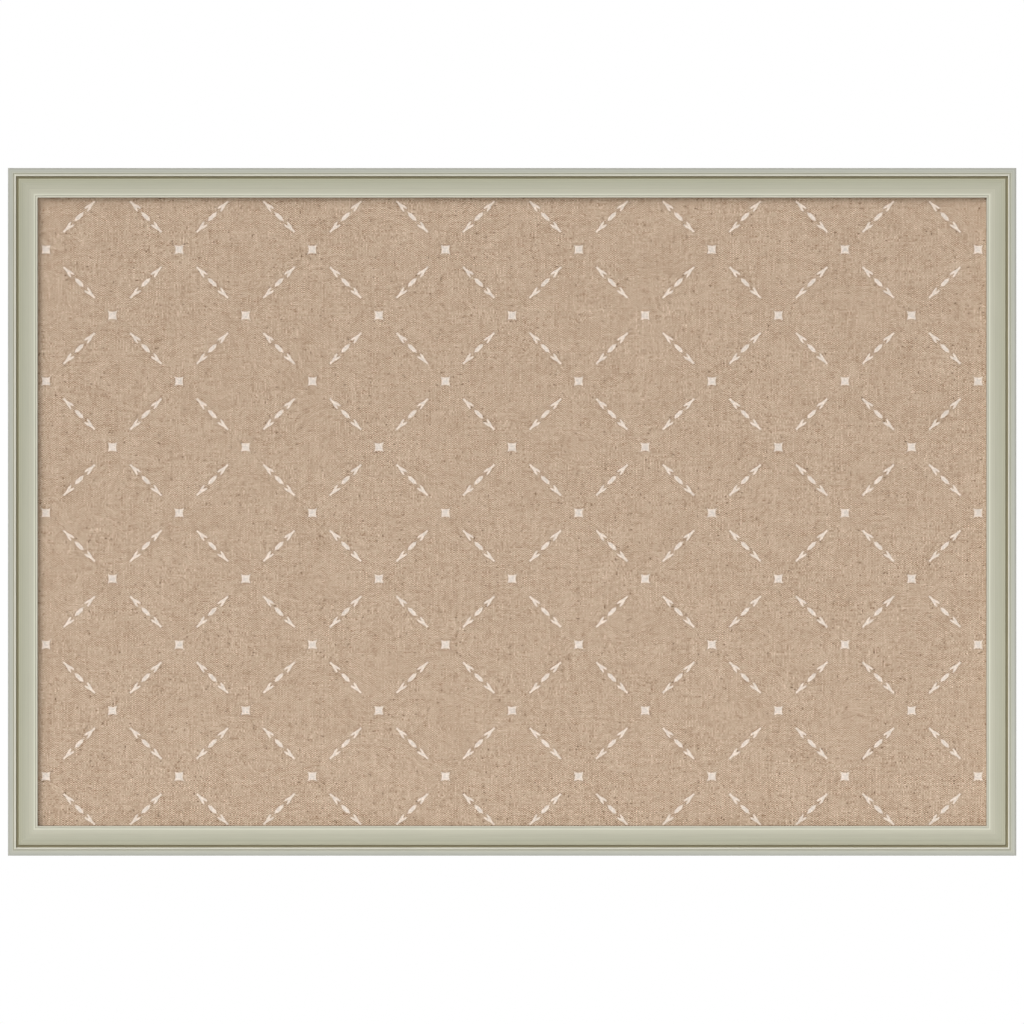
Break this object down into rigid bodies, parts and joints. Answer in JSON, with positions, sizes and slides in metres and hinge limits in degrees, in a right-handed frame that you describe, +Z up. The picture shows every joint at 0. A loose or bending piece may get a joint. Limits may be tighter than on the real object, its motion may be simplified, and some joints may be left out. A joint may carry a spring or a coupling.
{
  "type": "framed memo board",
  "caption": "Wide framed pin board: a mitred sage-painted moulding round a linen-covered panel with a pale diamond trellis print, hung on the wall by D-rings.",
  "frame": {"origin": "on the wall plane that the bumpers touch, behind the centre of the board", "axes": "+X to the right as seen from the front, +Y from the front of the board towards the wall, +Z up"},
  "size_m": [0.9582, 0.0292, 0.6532],
  "materials": {
    "sage_paint": "satin",
    "printed_linen": "matte",
    "wadding": "matte",
    "softboard": "matte",
    "hardboard": "matte",
    "nail_steel": "satin",
    "zinc_plate": "satin",
    "black_steel": "satin",
    "rubber": "matte"
  },
  "bodies": {
    "board": {"frame_rail_top": "sage_paint", "frame_rail_bottom": "sage_paint", "frame_rail_left": "sage_paint", "frame_rail_right": "sage_paint", "v_nail_top_left_outer": "nail_steel", "v_nail_top_left_inner": "nail_steel", "v_nail_top_right_outer": "nail_steel", "v_nail_top_right_inner": "nail_steel", "v_nail_bottom_left_outer": "nail_steel", "v_nail_bottom_left_inner": "nail_steel", "v_nail_bottom_right_outer": "nail_steel", "v_nail_bottom_right_inner": "nail_steel", "linen_cover": "printed_linen", "wadding_layer": "wadding", "pin_core": "softboard", "back_panel": "hardboard", "turn_screw_top_left": "zinc_plate", "turn_screw_top_right": "zinc_plate", "turn_screw_bottom_left": "zinc_plate", "turn_screw_bottom_right": "zinc_plate", "turn_screw_left": "zinc_plate", "turn_screw_right": "zinc_plate", "hanger_strap_left": "zinc_plate", "hanger_screw_left": "zinc_plate", "wall_bumper_left": "rubber", "hanger_strap_right": "zinc_plate", "hanger_screw_right": "zinc_plate", "wall_bumper_right": "rubber"},
    "turn_button_top_left_body": {"turn_button_top_left": "black_steel"},
    "turn_button_top_right_body": {"turn_button_top_right": "black_steel"},
    "turn_button_bottom_left_body": {"turn_button_bottom_left": "black_steel"},
    "turn_button_bottom_right_body": {"turn_button_bottom_right": "black_steel"},
    "turn_button_left_body": {"turn_button_left": "black_steel"},
    "turn_button_right_body": {"turn_button_right": "black_steel"},
    "hanger_ring_left_body": {"hanger_ring_left": "zinc_plate"},
    "hanger_ring_right_body": {"hanger_ring_right": "zinc_plate"}
  },
  "joints": [
    {"name": "turn_button_top_left_turn", "type": "hinge", "parent": "board", "child": "turn_button_top_left_body", "pos_m": [-0.25, -0.005, 0.3136], "axis": [0, 1, 0], "continuous": true},
    {"name": "turn_button_top_right_turn", "type": "hinge", "parent": "board", "child": "turn_button_top_right_body", "pos_m": [0.25, -0.005, 0.3136], "axis": [0, 1, 0], "continuous": true},
    {"name": "turn_button_bottom_left_turn", "type": "hinge", "parent": "board", "child": "turn_button_bottom_left_body", "pos_m": [-0.25, -0.005, -0.3136], "axis": [0, 1, 0], "continuous": true},
    {"name": "turn_button_bottom_right_turn", "type": "hinge", "parent": "board", "child": "turn_button_bottom_right_body", "pos_m": [0.25, -0.005, -0.3136], "axis": [0, 1, 0], "continuous": true},
    {"name": "turn_button_left_turn", "type": "hinge", "parent": "board", "child": "turn_button_left_body", "pos_m": [-0.466, -0.005, 0], "axis": [0, 1, 0], "continuous": true},
    {"name": "turn_button_right_turn", "type": "hinge", "parent": "board", "child": "turn_button_right_body", "pos_m": [0.466, -0.005, 0], "axis": [0, 1, 0], "continuous": true},
    {"name": "hanger_ring_left_swing", "type": "hinge", "parent": "board", "child": "hanger_ring_left_body", "pos_m": [-0.46853, -0.0026, 0.16165], "axis": [-1, 0, 0], "range_deg": [0, 178]},
    {"name": "hanger_ring_right_swing", "type": "hinge", "parent": "board", "child": "hanger_ring_right_body", "pos_m": [0.46853, -0.0026, 0.16165], "axis": [-1, 0, 0], "range_deg": [0, 178]}
  ]
}
